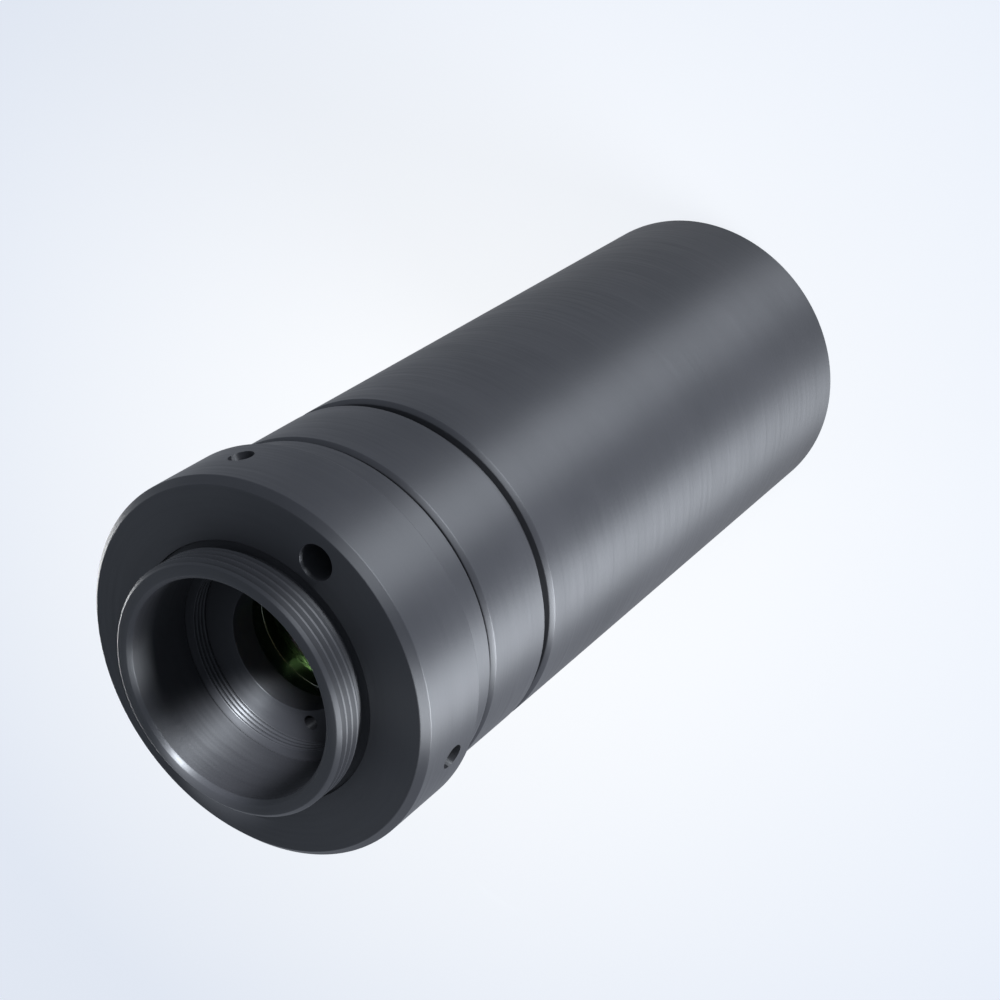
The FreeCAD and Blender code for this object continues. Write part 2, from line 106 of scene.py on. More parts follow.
def lathe_coordinates(tree, ring_scale, around_scale):
    """Distance from the axis and height as a coordinate, with a little of the place around."""
    nodes = tree.nodes
    place = nodes.new("ShaderNodeTexCoord")
    parts = nodes.new("ShaderNodeSeparateXYZ")
    tree.links.new(place.outputs["Object"], parts.inputs["Vector"])
    flat = nodes.new("ShaderNodeCombineXYZ")
    tree.links.new(parts.outputs["X"], flat.inputs["X"])
    tree.links.new(parts.outputs["Y"], flat.inputs["Y"])
    reach = nodes.new("ShaderNodeVectorMath")
    reach.operation = "LENGTH"
    tree.links.new(flat.outputs["Vector"], reach.inputs[0])
    angle = nodes.new("ShaderNodeMath")
    angle.operation = "ARCTAN2"
    tree.links.new(parts.outputs["Y"], angle.inputs[0])
    tree.links.new(parts.outputs["X"], angle.inputs[1])
    scaled = []
    for source, factor in ((reach.outputs["Value"], ring_scale),
                           (parts.outputs["Z"], ring_scale),
                           (angle.outputs["Value"], around_scale)):
        times = nodes.new("ShaderNodeMath")
        times.operation = "MULTIPLY"
        tree.links.new(source, times.inputs[0])
        times.inputs[1].default_value = factor
        scaled.append(times.outputs["Value"])
    out = nodes.new("ShaderNodeCombineXYZ")
    for socket, value in zip(out.inputs, scaled):
        tree.links.new(value, socket)
    return out.outputs["Vector"]


def noise(tree, vector, scale, detail):
    """Soft noise at a coordinate."""
    texture = tree.nodes.new("ShaderNodeTexNoise")
    texture.inputs["Scale"].default_value = scale
    texture.inputs["Detail"].default_value = detail
    tree.links.new(vector, texture.inputs["Vector"])
    return texture.outputs["Fac"]


def spread(tree, value, low, high):
    """Map a value from 0..1 to a range."""
    ranged = tree.nodes.new("ShaderNodeMapRange")
    ranged.inputs["To Min"].default_value = low
    ranged.inputs["To Max"].default_value = high
    tree.links.new(value, ranged.inputs["Value"])
    return ranged.outputs["Result"]


def colour_between(tree, value, dark, light):
    """A colour between two others, chosen by a value."""
    mix = tree.nodes.new("ShaderNodeMix")
    mix.data_type = "RGBA"
    mix.inputs["A"].default_value = (*dark, 1)
    mix.inputs["B"].default_value = (*light, 1)
    tree.links.new(value, mix.inputs["Factor"])
    return mix.outputs["Result"]


def bump(tree, shader, heights, depth):
    """Raise the surface a little where the heights are large."""
    relief = tree.nodes.new("ShaderNodeBump")
    relief.inputs["Strength"].default_value = 1.0
    relief.inputs["Distance"].default_value = depth
    tree.links.new(heights, relief.inputs["Height"])
    tree.links.new(relief.outputs["Normal"], shader.inputs["Normal"])


# %% Make the anodised finish
PER_MM = 1000.0
RING_DRIFT = 0.6
RING_NOISE = (2.6, 3.0)
BLOOM_NOISE = (90.0, 4.0)
GRAIN_NOISE = (2600.0, 2.0)
GRAIN_SHARE = 0.5
OXIDE_TINT = (0.86, 0.92, 1.0, 1)
OXIDE_GLOSS = 0.38
GLOSS_STRETCH = 0.85
ALONG_THE_TUBE = 0.25


def anodised(name, dark, light, rough_low, rough_high, mark_depth):
    """Dyed anodised aluminium that was turned on a lathe."""
    material, tree, shader = new_material(name)
    rings = lathe_coordinates(tree, PER_MM, RING_DRIFT)
    marks = noise(tree, rings, *RING_NOISE)
    place = tree.nodes.new("ShaderNodeTexCoord").outputs["Object"]
    bloom = noise(tree, place, *BLOOM_NOISE)
    grain = spread(tree, noise(tree, place, *GRAIN_NOISE), 0.0, GRAIN_SHARE)
    heights = tree.nodes.new("ShaderNodeMath")
    heights.operation = "ADD"
    tree.links.new(marks, heights.inputs[0])
    tree.links.new(grain, heights.inputs[1])
    tree.links.new(colour_between(tree, bloom, dark, light), shader.inputs["Base Color"])
    tree.links.new(spread(tree, marks, rough_low, rough_high), shader.inputs["Roughness"])
    shader.inputs["Specular IOR Level"].default_value = OXIDE_GLOSS
    shader.inputs["Specular Tint"].default_value = OXIDE_TINT
    shader.inputs["Anisotropic"].default_value = GLOSS_STRETCH
    shader.inputs["Anisotropic Rotation"].default_value = ALONG_THE_TUBE
    around = tree.nodes.new("ShaderNodeTangent")
    around.direction_type = "RADIAL"
    around.axis = "Z"
    tree.links.new(around.outputs["Tangent"], shader.inputs["Tangent"])
    bump(tree, shader, heights.outputs["Value"], mark_depth)
    return material


black_skin = anodised("black_anodised_skin", dark=(0.0055, 0.006, 0.0075),
                      light=(0.013, 0.0135, 0.016), rough_low=0.37, rough_high=0.55,
                      mark_depth=5e-6)
black_inside = anodised("black_light_trap", dark=(0.010, 0.010, 0.011),
                        light=(0.018, 0.018, 0.019), rough_low=0.55, rough_high=0.70,
                        mark_depth=4e-6)
print("finishes:", black_skin.name, black_inside.name)

# %% [markdown]
# ## Coated glass and blackened steel
#
# A coated lens shows a faint coloured reflection over a dark inside. A thin
# film on the shader gives that colour in the same way as the real coating.

# %% Make the glass and the steel
GLASS_TINT = (0.93, 0.97, 0.96, 1)
COATING_INDEX = 1.38
DUST_NOISE = (160.0, 5.0)
DUST_ROUGHNESS = 0.03
STEEL_NOISE = (2200.0, 3.0)
STEEL_DARK = (0.05, 0.05, 0.052)
STEEL_LIGHT = (0.11, 0.11, 0.115)
STEEL_ROUGHNESS = (0.25, 0.42)


def coated_glass(name, index, film):
    """Optical glass with an anti-reflection film, its thickness in nanometres."""
    material, tree, shader = new_material(name)
    shader.inputs["Base Color"].default_value = GLASS_TINT
    shader.inputs["Transmission Weight"].default_value = 1.0
    shader.inputs["IOR"].default_value = index
    shader.inputs["Thin Film Thickness"].default_value = film
    shader.inputs["Thin Film IOR"].default_value = COATING_INDEX
    place = tree.nodes.new("ShaderNodeTexCoord").outputs["Object"]
    dust = noise(tree, place, *DUST_NOISE)
    tree.links.new(spread(tree, dust, 0.0, DUST_ROUGHNESS), shader.inputs["Roughness"])
    return material


def blackened_steel(name):
    """Oiled black oxide on a small steel screw."""
    material, tree, shader = new_material(name)
    place = tree.nodes.new("ShaderNodeTexCoord").outputs["Object"]
    grain = noise(tree, place, *STEEL_NOISE)
    colour = colour_between(tree, grain, STEEL_DARK, STEEL_LIGHT)
    tree.links.new(colour, shader.inputs["Base Color"])
    tree.links.new(spread(tree, grain, *STEEL_ROUGHNESS), shader.inputs["Roughness"])
    shader.inputs["Metallic"].default_value = 1.0
    return material


crown_glass = coated_glass("crown_glass", index=1.52, film=420.0)
flint_glass = coated_glass("flint_glass", index=1.62, film=460.0)
screw_steel = blackened_steel("screw_steel")
print("glass:", crown_glass.name, flint_glass.name)

# %% [markdown]
# ## Turned pieces
#
# Nearly everything here comes off a lathe, so each piece is half of its
# section, drawn once and spun about the optical axis. The corners of the
# section are rounded before the spin, which softens every edge of the piece
# at once. The hidden sides keep the measured sizes.

# %% Lathe helpers
ON_AXIS = 1e-7
MERGE_REACH = ON_AXIS * 10
AROUND = 176
EDGE_SOFTNESS = 0.07
EDGE_STEPS = 3
METAL_SHARP = 32


def low_mm(node):
    """Height of a solid's lowest point above the front rim."""
    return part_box(node)[0].z / MM


def top_mm(node):
    """Height of a solid's highest point above the front rim."""
    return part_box(node)[1].z / MM


def half_section(foot, corners):
    """Closed outline from corners, each a distance from the axis and a height above the foot."""
    bm = bmesh.new()
    outline = [bm.verts.new((reach * MM, 0, (foot + height) * MM)) for reach, height in corners]
    bm.faces.new(outline)
    bmesh.ops.bevel(bm, geom=list(bm.verts), offset=EDGE_SOFTNESS * MM, offset_type="OFFSET",
                    segments=EDGE_STEPS, profile=0.5, affect="VERTICES", material=-1)
    bmesh.ops.delete(bm, geom=list(bm.faces), context="FACES_ONLY")
    return bm


def spin_full(bm, around=AROUND):
    """Spin an outline once about the optical axis and close the seam and the poles."""
    on_axis = [e for e in bm.edges if all(v.co.x < ON_AXIS for v in e.verts)]
    bmesh.ops.delete(bm, geom=on_axis, context="EDGES")
    chain = list(bm.verts) + list(bm.edges)
    bmesh.ops.spin(bm, geom=chain, cent=(0, 0, 0), axis=(0, 0, 1), angle=math.tau, steps=around,
                   use_merge=True)
    bmesh.ops.remove_doubles(bm, verts=bm.verts, dist=MERGE_REACH)
    bmesh.ops.recalc_face_normals(bm, faces=bm.faces)
    return bm


def as_object(bm, name):
    """An object at the origin with the mesh that was made."""
    mesh = bpy.data.meshes.new(name)
    bm.to_mesh(mesh)
    bm.free()
    piece = bpy.data.objects.new(name, mesh)
    bpy.context.scene.collection.objects.link(piece)
    return piece


def carve(piece, cutters):
    """Cut holes and grooves with other shapes, which are then thrown away."""
    for cutter in cutters:
        cut = piece.modifiers.new(cutter.name, "BOOLEAN")
        cut.operation = "DIFFERENCE"
        cut.solver = "EXACT"
        cut.object = cutter
    looked_at = bpy.context.evaluated_depsgraph_get()
    carved = bpy.data.meshes.new_from_object(piece.evaluated_get(looked_at))
    carved.name = piece.name
    piece.modifiers.clear()
    piece.data = carved
    for cutter in cutters:
        bpy.data.objects.remove(cutter)


def dress(piece, node, body, material, sharp=METAL_SHARP):
    """Smooth a finished piece, paint it and put it in its solid's place."""
    piece.data.materials.clear()
    piece.data.materials.append(material)
    piece.data.shade_smooth()
    piece.data.set_sharp_from_angle(angle=math.radians(sharp))
    even = piece.modifiers.new("even_shading", "WEIGHTED_NORMAL")
    even.keep_sharp = True
    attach(piece, body)
    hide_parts(node)
    print(piece.name, "faces:", len(piece.data.polygons))


# %% [markdown]
# ## The front barrel
#
# The long tube is one turned piece. Its bore has fine sharp rings between the
# glass and the baffle: they stop light that grazes the wall, and through the
# front glass they give the tube its ribbed black depth.

# %% Turn the front barrel
FRONT_LENGTH = 66.4
TUBE_RADIUS = 18.0
EDGE_CHAMFER = 0.4
FRONT_THREAD_RADIUS = 15.3
FRONT_THREAD_TOP = 4.3
GLASS_BORE_RADIUS = 15.05
GLASS_BORE_TOP = 17.8
JOINT_BORE_RADIUS = 15.4
JOINT_BORE_FLOOR = 58.4
BORE_RADIUS = 13.8
TRAP_START = 20.0
TRAP_PITCH = 1.0
TRAP_COUNT = 26
TRAP_DEPTH = 0.45

light_traps = []
for ring in range(TRAP_COUNT):
    start = TRAP_START + ring * TRAP_PITCH
    light_traps.append((BORE_RADIUS, start))
    light_traps.append((BORE_RADIUS + TRAP_DEPTH, start + TRAP_PITCH / 2))
light_traps.append((BORE_RADIUS, TRAP_START + TRAP_COUNT * TRAP_PITCH))

front_outline = [
    (FRONT_THREAD_RADIUS, 0), (TUBE_RADIUS - EDGE_CHAMFER, 0), (TUBE_RADIUS, EDGE_CHAMFER),
    (TUBE_RADIUS, FRONT_LENGTH - EDGE_CHAMFER), (TUBE_RADIUS - EDGE_CHAMFER, FRONT_LENGTH),
    (JOINT_BORE_RADIUS, FRONT_LENGTH), (JOINT_BORE_RADIUS, JOINT_BORE_FLOOR),
    (BORE_RADIUS, JOINT_BORE_FLOOR),
    *reversed(light_traps),
    (BORE_RADIUS, GLASS_BORE_TOP), (GLASS_BORE_RADIUS, GLASS_BORE_TOP),
    (GLASS_BORE_RADIUS, FRONT_THREAD_TOP), (FRONT_THREAD_RADIUS, FRONT_THREAD_TOP),
]
front_barrel = as_object(spin_full(half_section(0, front_outline)), "front_tube")
dress(front_barrel, "front_barrel", "barrel", black_skin)

# %% [markdown]
# ## The rear barrel
#
# The rear barrel screws into the front one and leaves a narrow dark groove
# between them. Behind it stands the spigot that the camera ring turns on.
# Its bore is threaded for the rear retaining ring. A vee that is spun with a
# rise on each step is a thread, and it is cut out of the plain bore.

# %% Make the cutters
THREAD_STEPS = 96
VEE_HALF_WIDTH = 0.46
VEE_OVERLAP = 0.12
DRILL_STEPS = 48
OVERSHOOT = 1


def thread_cutter(name, radius, outward, depth, pitch, low, high):
    """A helical vee groove; outward is 1 for a bore and -1 for a shaft."""
    bm = bmesh.new()
    half = VEE_HALF_WIDTH * pitch
    turns = math.ceil((high - low) / pitch) + 1
    tip = (radius + outward * depth) * MM
    lip = (radius - outward * VEE_OVERLAP) * MM
    base = low - pitch / 2
    corners = [(lip, base - half), (tip, base), (lip, base + half)]
    vee = bm.faces.new([bm.verts.new((reach, 0, height * MM)) for reach, height in corners])
    rise = Vector((0, 0, pitch * MM / THREAD_STEPS))
    bmesh.ops.spin(bm, geom=[vee], cent=(0, 0, 0), axis=(0, 0, 1), dvec=rise,
                   angle=turns * math.tau, steps=turns * THREAD_STEPS)
    bmesh.ops.remove_doubles(bm, verts=bm.verts, dist=ON_AXIS)
    bmesh.ops.recalc_face_normals(bm, faces=bm.faces)
    return as_object(bm, name)


def round_cutter(name, radius, low, high, place, across=None):
    """A plain round cutter along Z, or lying outwards at an angle about the axis."""
    bm = bmesh.new()
    bmesh.ops.create_cone(bm, cap_ends=True, segments=DRILL_STEPS, radius1=radius * MM,
                          radius2=radius * MM, depth=(high - low) * MM)
    bmesh.ops.translate(bm, verts=bm.verts, vec=(0, 0, (high + low) / 2 * MM))
    if across is not None:
        bmesh.ops.rotate(bm, verts=bm.verts, matrix=Matrix.Rotation(math.pi / 2, 3, "Y"))
        bmesh.ops.rotate(bm, verts=bm.verts, matrix=Matrix.Rotation(across, 3, "Z"))
    bmesh.ops.translate(bm, verts=bm.verts, vec=Vector(place) * MM)
    return as_object(bm, name)


# %% Turn the rear barrel
INDEX_ANGLE = math.radians(-72.7)
INDEX_REACH = 15.45
INDEX_RADIUS = 1.75
INDEX_DEPTH = 4.4
STOP_BORE_RADIUS = 12.4
STOP_BORE_TOP = 5.9
LIGHT_HOLE_RADIUS = 7.5
JOINT_RADIUS = 15.36
JOINT_TOP = 7.8
GROOVE_RADIUS = 16.9
GROOVE_TOP = 9.0
SHOULDER = 18.5
SPIGOT_RADIUS = 12.9
VEE_MIDDLE = 25.8
VEE_DEPTH = 0.8
REAR_LENGTH = 27.1
CAVITY_RADIUS = 9.9
CAVITY_FLOOR = 7.4
RING_THREAD_DEPTH = 0.27
RING_THREAD_PITCH = 0.5

index_place = (INDEX_REACH * math.cos(INDEX_ANGLE), INDEX_REACH * math.sin(INDEX_ANGLE), 0)
rear_foot = low_mm("rear_barrel")
rear_shoulder = rear_foot + SHOULDER
rear_outline = [
    (STOP_BORE_RADIUS, 0), (JOINT_RADIUS, 0), (JOINT_RADIUS, JOINT_TOP),
    (GROOVE_RADIUS, JOINT_TOP), (GROOVE_RADIUS, GROOVE_TOP),
    (TUBE_RADIUS - EDGE_CHAMFER, GROOVE_TOP), (TUBE_RADIUS, GROOVE_TOP + EDGE_CHAMFER),
    (TUBE_RADIUS, SHOULDER - EDGE_CHAMFER), (TUBE_RADIUS - EDGE_CHAMFER, SHOULDER),
    (SPIGOT_RADIUS, SHOULDER), (SPIGOT_RADIUS, VEE_MIDDLE - VEE_DEPTH),
    (SPIGOT_RADIUS - VEE_DEPTH, VEE_MIDDLE), (SPIGOT_RADIUS, VEE_MIDDLE + VEE_DEPTH),
    (SPIGOT_RADIUS, REAR_LENGTH), (CAVITY_RADIUS, REAR_LENGTH), (CAVITY_RADIUS, CAVITY_FLOOR),
    (LIGHT_HOLE_RADIUS, CAVITY_FLOOR), (LIGHT_HOLE_RADIUS, STOP_BORE_TOP),
    (STOP_BORE_RADIUS, STOP_BORE_TOP),
]
rear_barrel = as_object(spin_full(half_section(rear_foot, rear_outline)), "rear_tube")
rear_ring_top = top_mm("rear_retaining_ring")
carve(rear_barrel, [
    round_cutter("index_drill", INDEX_RADIUS, rear_shoulder - INDEX_DEPTH,
                 rear_shoulder + OVERSHOOT, index_place),
    thread_cutter("ring_tap", CAVITY_RADIUS, 1, RING_THREAD_DEPTH, RING_THREAD_PITCH,
                  rear_ring_top, top_mm("rear_barrel")),
])
dress(rear_barrel, "rear_barrel", "barrel", black_skin)

# %% [markdown]
# ## The camera mount ring
#
# The ring slips over the spigot and three set screws hold it. Its hub has the
# standard camera thread, one inch across with 32 threads to the inch, behind
# a short relief groove. The hole through it lines up with one in the barrel.

# %% Turn and thread the mount ring
CAMERA_THREAD_RADIUS = 12.7
CAMERA_THREAD_PITCH = 25.4 / 32
CAMERA_THREAD_DEPTH = 0.46
SCREW_RADIUS = 1.25
SCREW_ANGLES = [math.radians(a) for a in (90, 210, 330)]
SCREW_DRILL_START = 10
SCREW_DRILL_END = 21
BEARING_RADIUS = 12.93
BEARING_TOP = 8.3
FOOT_CHAMFER = 0.3
SKIRT_TOP = 2.75
FLANGE_RADIUS = 19.0
SEAT_HEIGHT = 12.2
SEAT_INNER_RADIUS = 13.0
SEAT_RECESS = 0.3
FACE_CHAMFER = 0.7
RELIEF_RADIUS = 11.9
RELIEF_TOP = 13.1
HUB_HEIGHT = 16.2
HUB_CHAMFER = 0.4
HUB_BORE_RADIUS = 10.9

mount_foot = low_mm("camera_mount_ring")
hub_top = top_mm("camera_mount_ring")
mount_outline = [
    (BEARING_RADIUS, 0), (TUBE_RADIUS - FOOT_CHAMFER, 0), (TUBE_RADIUS, FOOT_CHAMFER),
    (TUBE_RADIUS, SKIRT_TOP), (FLANGE_RADIUS, SKIRT_TOP + FLANGE_RADIUS - TUBE_RADIUS),
    (FLANGE_RADIUS, SEAT_HEIGHT - FACE_CHAMFER), (FLANGE_RADIUS - FACE_CHAMFER, SEAT_HEIGHT),
    (SEAT_INNER_RADIUS, SEAT_HEIGHT), (SEAT_INNER_RADIUS, SEAT_HEIGHT - SEAT_RECESS),
    (RELIEF_RADIUS, SEAT_HEIGHT - SEAT_RECESS), (RELIEF_RADIUS, RELIEF_TOP),
    (CAMERA_THREAD_RADIUS, RELIEF_TOP), (CAMERA_THREAD_RADIUS, HUB_HEIGHT - HUB_CHAMFER),
    (CAMERA_THREAD_RADIUS - HUB_CHAMFER, HUB_HEIGHT),
    (HUB_BORE_RADIUS + HUB_CHAMFER, HUB_HEIGHT), (HUB_BORE_RADIUS, HUB_HEIGHT - HUB_CHAMFER),
    (HUB_BORE_RADIUS, BEARING_TOP), (BEARING_RADIUS, BEARING_TOP),
]
mount_ring = as_object(spin_full(half_section(mount_foot, mount_outline)), "mount_ring")
screw_low, screw_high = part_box("mount_set_screw_1")
screw_height = (screw_low.z + screw_high.z) / 2 / MM
ring_cutters = [
    round_cutter("index_drill", INDEX_RADIUS, mount_foot - OVERSHOOT,
                 mount_foot + SEAT_HEIGHT + OVERSHOOT, index_place),
    thread_cutter("camera_die", CAMERA_THREAD_RADIUS, -1, CAMERA_THREAD_DEPTH,
                  CAMERA_THREAD_PITCH, mount_foot + RELIEF_TOP, hub_top),
]
for angle in SCREW_ANGLES:
    ring_cutters.append(round_cutter("screw_drill", SCREW_RADIUS, SCREW_DRILL_START,
                                     SCREW_DRILL_END, (0, 0, screw_height), angle))
carve(mount_ring, ring_cutters)
dress(mount_ring, "camera_mount_ring", "mount", black_skin)

# %% [markdown]
# ## The retaining rings
#
# Each lens group is held by a threaded ring. The front one has two open slots
# for a flat spanner, the rear one has two small blind holes for a pin spanner.

# %% Turn the retaining rings
SLOT_REACH = 40
SLOT_WIDTH = 2.7
SLOT_DEPTH = 1.4
SLOT_ANGLE = math.radians(-43)
FRONT_RING_RADIUS = 15.26
FRONT_RING_BORE_RADIUS = 12.75
FRONT_RING_CHAMFER = 0.3
FRONT_RING_HEIGHT = 4
FRONT_RING_LIP_RADIUS = 14
FRONT_RING_LIP_FOOT = 3


def slot_cutter(name, width, depth, foot, angle):
    """A flat bar across the ring, to mill both slots at once."""
    bm = bmesh.new()
    bmesh.ops.create_cube(bm, size=1.0)
    bmesh.ops.scale(bm, verts=bm.verts, vec=(SLOT_REACH * MM, width * MM, 2 * depth * MM))
    bmesh.ops.rotate(bm, verts=bm.verts, matrix=Matrix.Rotation(angle, 3, "Z"))
    bmesh.ops.translate(bm, verts=bm.verts, vec=(0, 0, foot * MM))
    return as_object(bm, name)


front_ring_foot = low_mm("front_retaining_ring")
front_ring_outline = [
    (FRONT_RING_BORE_RADIUS + FRONT_RING_CHAMFER, 0), (FRONT_RING_RADIUS, 0),
    (FRONT_RING_RADIUS, FRONT_RING_HEIGHT), (FRONT_RING_LIP_RADIUS, FRONT_RING_HEIGHT),
    (FRONT_RING_BORE_RADIUS, FRONT_RING_LIP_FOOT), (FRONT_RING_BORE_RADIUS, FRONT_RING_CHAMFER),
]
front_ring = as_object(spin_full(half_section(front_ring_foot, front_ring_outline)), "front_ring")
carve(front_ring, [slot_cutter("slot_mill", SLOT_WIDTH, SLOT_DEPTH, front_ring_foot, SLOT_ANGLE)])
dress(front_ring, "front_retaining_ring", "barrel", black_skin)

PIN_ANGLE = math.radians(153)
PIN_REACH = 7.85
PIN_RADIUS = 0.75
PIN_DEPTH = 1.8
REAR_RING_RADIUS = 9.86
REAR_RING_BORE_RADIUS = 6.6
REAR_RING_HEIGHT = 3

rear_ring_foot = low_mm("rear_retaining_ring")
rear_ring_outline = [
    (REAR_RING_BORE_RADIUS, 0), (REAR_RING_RADIUS, 0),
    (REAR_RING_RADIUS, REAR_RING_HEIGHT), (REAR_RING_BORE_RADIUS, REAR_RING_HEIGHT),
]
rear_ring = as_object(spin_full(half_section(rear_ring_foot, rear_ring_outline)), "rear_ring")
pin_cutters = []
for side in (1, -1):
    place = (side * PIN_REACH * math.cos(PIN_ANGLE), side * PIN_REACH * math.sin(PIN_ANGLE), 0)
    pin_cutters.append(round_cutter("pin_drill", PIN_RADIUS, rear_ring_top - PIN_DEPTH,
                                    rear_ring_top + OVERSHOOT, place))
carve(rear_ring, pin_cutters)
dress(rear_ring, "rear_retaining_ring", "barrel", black_skin)

# %% [markdown]
# ## The glass
#
# Every surface of a lens element is part of a ball. One vertex that is carried
# round the centre of that ball draws its curve, and a spin about the optical
# axis makes the surface. A hair's gap keeps two cemented surfaces apart.

# %% Grind the elements
CURVE_STEPS = 22
GLASS_AROUND = 128
GLASS_SHARP = 20
CEMENT_GAP = 0.01


def ground_curve(bm, curve, side, reach, height):
    """Edges of one surface from the axis to its rim; returns the rim's vertex.

    side is 1 where the centre of the ball is above the surface and -1 where it is below.
    A curve of None is a flat surface.
    """
    if curve is None:
        start = bm.verts.new((0, 0, height * MM))
        rim = bm.verts.new((reach * MM, 0, height * MM))
        bm.edges.new((start, rim))
        return rim
    centre = height + side * math.sqrt(curve ** 2 - reach ** 2)
    start = bm.verts.new((0, 0, (centre - side * curve) * MM))
    sweep = -side * math.asin(reach / curve)
    made = bmesh.ops.spin(bm, geom=[start], cent=(0, 0, centre * MM), axis=(0, 1, 0), angle=sweep,
                          steps=CURVE_STEPS)
    return next(v for v in made["geom_last"] if isinstance(v, bmesh.types.BMVert))


def element(name, node, seat, lower, corners, upper, glass):
    """A lens element between two ground surfaces, with its rim corners in between.

    lower and upper are each a curve, its side, its reach and its height above the seat.
    """
    bm = bmesh.new()
    first = ground_curve(bm, *lower[:3], seat + lower[3])
    last = ground_curve(bm, *upper[:3], seat + upper[3])
    chain = [first]
    for reach, height in corners:
        chain.append(bm.verts.new((reach * MM, 0, (seat + height) * MM)))
    chain.append(last)
    for one, other in zip(chain, chain[1:]):
        bm.edges.new((one, other))
    bmesh.ops.remove_doubles(bm, verts=bm.verts, dist=ON_AXIS)
    piece = as_object(spin_full(bm, GLASS_AROUND), name)
    dress(piece, node, "barrel", glass, GLASS_SHARP)


crown_seat = top_mm("front_retaining_ring")
element("front_crown", "front_crown_element", crown_seat,
        (60, 1, 14, 0), [(15, 0), (15, 3)], (45, -1, 15, 3), crown_glass)
element("front_flint", "front_flint_element", crown_seat + 3,
        (45, -1, 15, CEMENT_GAP), [(15, 5), (14, 5)], (150, -1, 14, 5), flint_glass)
element("collector", "collector_element", top_mm("front_spacer"),
        (80, 1, 14, 0), [(15, 0), (15, 3)], (None, 0, 15, 3), crown_glass)
element("relay", "relay_element", top_mm("stop_spacer"),
        (30, 1, 8.9, 0), [(9.85, 0), (9.85, 2.2)], (40, -1, 8.9, 2.2), crown_glass)
rear_seat = top_mm("rear_spacer")
element("rear_crown", "rear_crown_element", rear_seat,
        (28, 1, 8.9, 0), [(9.85, 0)], (22, -1, 9.85, 2.4), crown_glass)
element("rear_flint", "rear_flint_element", rear_seat + 2.4,
        (22, -1, 9.85, CEMENT_GAP), [], (None, 0, 9.85, 3.8), flint_glass)

# %% [markdown]
# ## The small pieces
#
# The set screws, the spacers, the baffle and the stop keep their measured
# solids. They only need the right finish.

# %% Paint the measured solids
INSIDE = ("front_spacer", "baffle_sleeve", "aperture_stop", "stop_spacer", "rear_spacer")
SCREWS = ("mount_set_screw_1", "mount_set_screw_2", "mount_set_screw_3")
for names, finish in ((INSIDE, black_inside), (SCREWS, screw_steel)):
    for name in names:
        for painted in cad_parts[name].material_slots:
            painted.material = finish
print("painted:", len(INSIDE) + len(SCREWS))

# %% [markdown]
# ## The studio
#
# The lens stands on its front rim on a pale floor. The floor's own white is
# added only for what looks at it, so that it lights nothing, and the rest of
# its colour comes from the lamps, so that it keeps the soft shadow.
# A pool of light is also painted into the floor's colour: it is white around
# the middle of the picture and turns darker and bluer towards the edges.

# %% Lay the floor
FLOOR_SIZE = 6.0
# The painted pool of light centres on the middle of the picture. It is drawn out along the floor as
# the camera sees it slanted, and fades between these two distances.
PICTURE_MIDDLE = (0.0, 48.0 * MM, 0.0)
SEEN_SLANT = 0.77
FADE_START = 0.015
FADE_END = 0.100
# Painted pool of light: white at its middle, painted shade, darker and bluer, at its edge.
POOL_LIGHT_WHITE = (0.950, 0.965, 0.985)
POOL_EDGE_SHADE = (0.76, 0.81, 0.90)
FLOOR_ROUGHNESS = 0.9
FLOOR_GLOSS = 0.1

floor_bm = bmesh.new()
bmesh.ops.create_grid(floor_bm, x_segments=1, y_segments=1, size=FLOOR_SIZE / 2)
floor = as_object(floor_bm, "studio_floor")
floor_material, floor_tree, floor_shader = new_material("pale_floor")
floor_place = floor_tree.nodes.new("ShaderNodeTexCoord").outputs["Object"]
centred = floor_tree.nodes.new("ShaderNodeMapping")
centred.vector_type = "TEXTURE"
centred.inputs["Location"].default_value = PICTURE_MIDDLE
centred.inputs["Scale"].default_value = (1.0, 1 / SEEN_SLANT, 1.0)
floor_tree.links.new(floor_place, centred.inputs["Vector"])
away = floor_tree.nodes.new("ShaderNodeVectorMath")
away.operation = "LENGTH"
floor_tree.links.new(centred.outputs["Vector"], away.inputs[0])
fade = floor_tree.nodes.new("ShaderNodeMapRange")
fade.inputs["From Min"].default_value = FADE_START
fade.inputs["From Max"].default_value = FADE_END
floor_tree.links.new(away.outputs["Value"], fade.inputs["Value"])
# The floor colour is painted with the pool of light, and the glow below carries it too.
painted_pool_colour = colour_between(floor_tree, fade.outputs["Result"], POOL_LIGHT_WHITE, POOL_EDGE_SHADE)
floor_tree.links.new(painted_pool_colour, floor_shader.inputs["Base Color"])
floor_shader.inputs["Roughness"].default_value = FLOOR_ROUGHNESS
floor_shader.inputs["Specular IOR Level"].default_value = FLOOR_GLOSS
glow = floor_tree.nodes.new("ShaderNodeEmission")
floor_tree.links.new(painted_pool_colour, glow.inputs["Color"])


def seen_rays(tree):
    """1 for rays from the camera, a reflection or glass, and 0 for light on the object."""
    rays = tree.nodes.new("ShaderNodeLightPath")
    seen = rays.outputs["Is Camera Ray"]
    for name in ("Is Glossy Ray", "Is Transmission Ray"):
        either = tree.nodes.new("ShaderNodeMath")
        either.operation = "MAXIMUM"
        tree.links.new(seen, either.inputs[0])
        tree.links.new(rays.outputs[name], either.inputs[1])
        seen = either.outputs["Value"]
    return seen


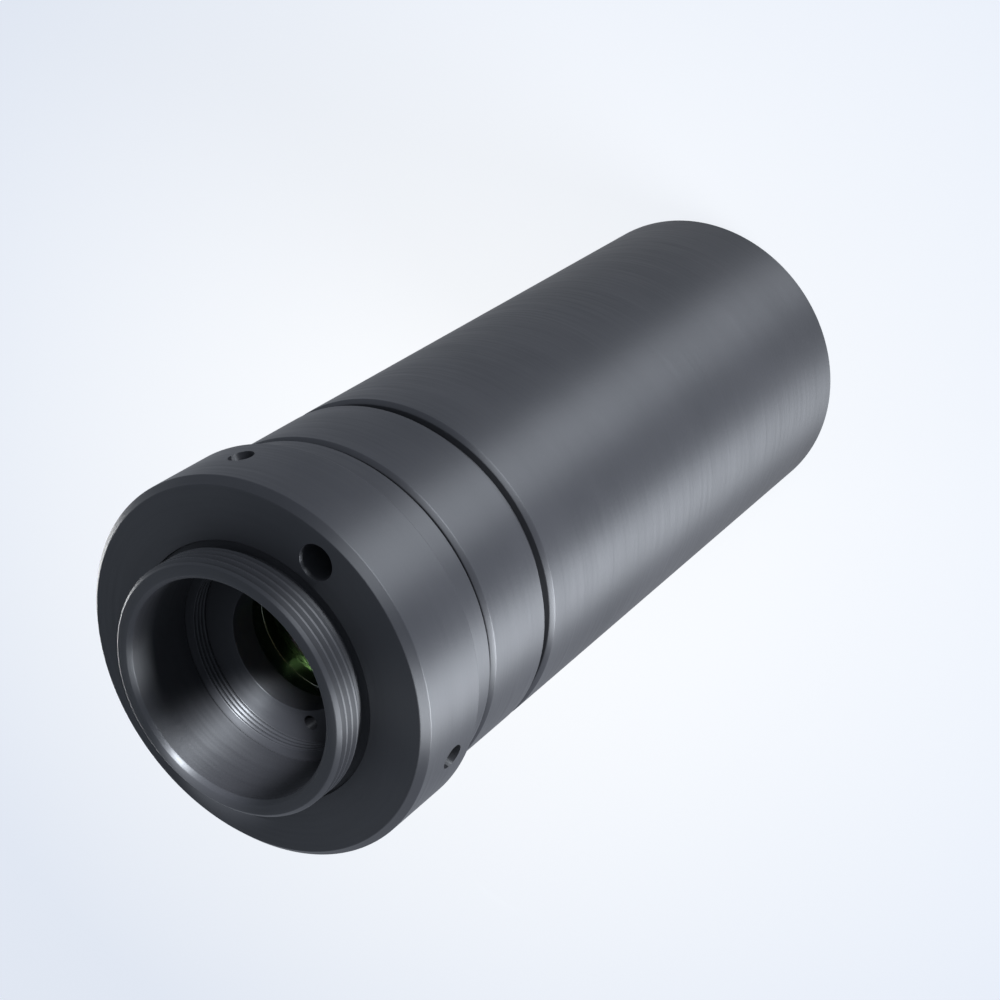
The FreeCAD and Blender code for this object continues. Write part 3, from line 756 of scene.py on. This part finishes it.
FLOOR_GLOW = 0.92
share = floor_tree.nodes.new("ShaderNodeMath")
share.operation = "MULTIPLY"
share.inputs[1].default_value = FLOOR_GLOW
floor_tree.links.new(seen_rays(floor_tree), share.inputs[0])
blend = floor_tree.nodes.new("ShaderNodeMixShader")
floor_tree.links.new(share.outputs["Value"], blend.inputs["Fac"])
floor_tree.links.new(floor_shader.outputs["BSDF"], blend.inputs[1])
floor_tree.links.new(glow.outputs["Emission"], blend.inputs[2])
floor_tree.links.new(blend.outputs["Shader"], floor_tree.nodes["Material Output"].inputs["Surface"])
floor.data.materials.append(floor_material)

# %% [markdown]
# ## The light
#
# Seen from above, the round wall mirrors what stands low around it. So two wide
# lamps stand near the floor, and each draws one soft band along the tube. A
# third does the same for the back. The sky lights the lens only a little, and
# for what looks at it, it is as bright as the far floor.
# The bore would stay black, so a narrow beam falls on its far wall.

# %% Light the lens
WORLD_LIGHT = 0.36
SEEN_SKY = 0.86
SKY_COLOUR = (0.83, 0.89, 1.0, 1)
world = bpy.data.worlds.new("studio_world")
bpy.context.scene.world = world
world.use_nodes = True
sky = world.node_tree.nodes["Background"]
sky.inputs["Color"].default_value = SKY_COLOUR
sky_strength = world.node_tree.nodes.new("ShaderNodeMapRange")
sky_strength.inputs["To Min"].default_value = WORLD_LIGHT
sky_strength.inputs["To Max"].default_value = SEEN_SKY
world.node_tree.links.new(seen_rays(world.node_tree), sky_strength.inputs["Value"])
world.node_tree.links.new(sky_strength.outputs["Result"], sky.inputs["Strength"])

LAMP_SPREAD = math.radians(60)
MIDDLE = (0, 0, 50)
LAMPS = (
    ("right_strip", (-350, -180, 80), 250, 150, 1.15),
    ("middle_strip", (55, -390, 80), 250, 150, 0.57),
    ("back_soft", (120, 420, 50), 300, 90, 0.3),
)


def aimed(data, place, target):
    """Put a lamp in the scene and aim it, with both points in millimetres."""
    light = bpy.data.objects.new(data.name, data)
    aim = (Vector(target) - Vector(place)).to_track_quat("-Z", "Y")
    light.matrix_world = Matrix.Translation(Vector(place) * MM) @ aim.to_matrix().to_4x4()
    bpy.context.scene.collection.objects.link(light)


for name, place, width, height, power in LAMPS:
    soft = bpy.data.lights.new(name, "AREA")
    soft.shape = "RECTANGLE"
    soft.size = width * MM
    soft.size_y = height * MM
    soft.energy = power
    soft.spread = LAMP_SPREAD
    aimed(soft, place, MIDDLE)

# %% Send a beam into the bore
BORE_WALL = Vector((-5.0, 8.7, 88.5))
BEAM_AZIMUTH = math.radians(-60)
BEAM_SLOPE = math.radians(50)
BEAM_DISTANCE = 300
BEAM_REACH = 7.6
BEAM_EDGE = 1.0
BEAM_SOURCE = 1.0
BEAM_POWER = 31.0

beam = bpy.data.lights.new("bore_beam", "SPOT")
beam.energy = BEAM_POWER
beam.spot_size = 2 * math.atan(BEAM_REACH / BEAM_DISTANCE)
beam.spot_blend = BEAM_EDGE
beam.shadow_soft_size = BEAM_SOURCE * MM
level = math.cos(BEAM_SLOPE)
way = Vector((level * math.cos(BEAM_AZIMUTH), level * math.sin(BEAM_AZIMUTH),
              math.sin(BEAM_SLOPE)))
aimed(beam, BORE_WALL + way * BEAM_DISTANCE, BORE_WALL)

# %% [markdown]
# ## Finish
#
# The picture is shown without any film look.

# %% Close the scene
bpy.context.scene.view_settings.view_transform = "Standard"
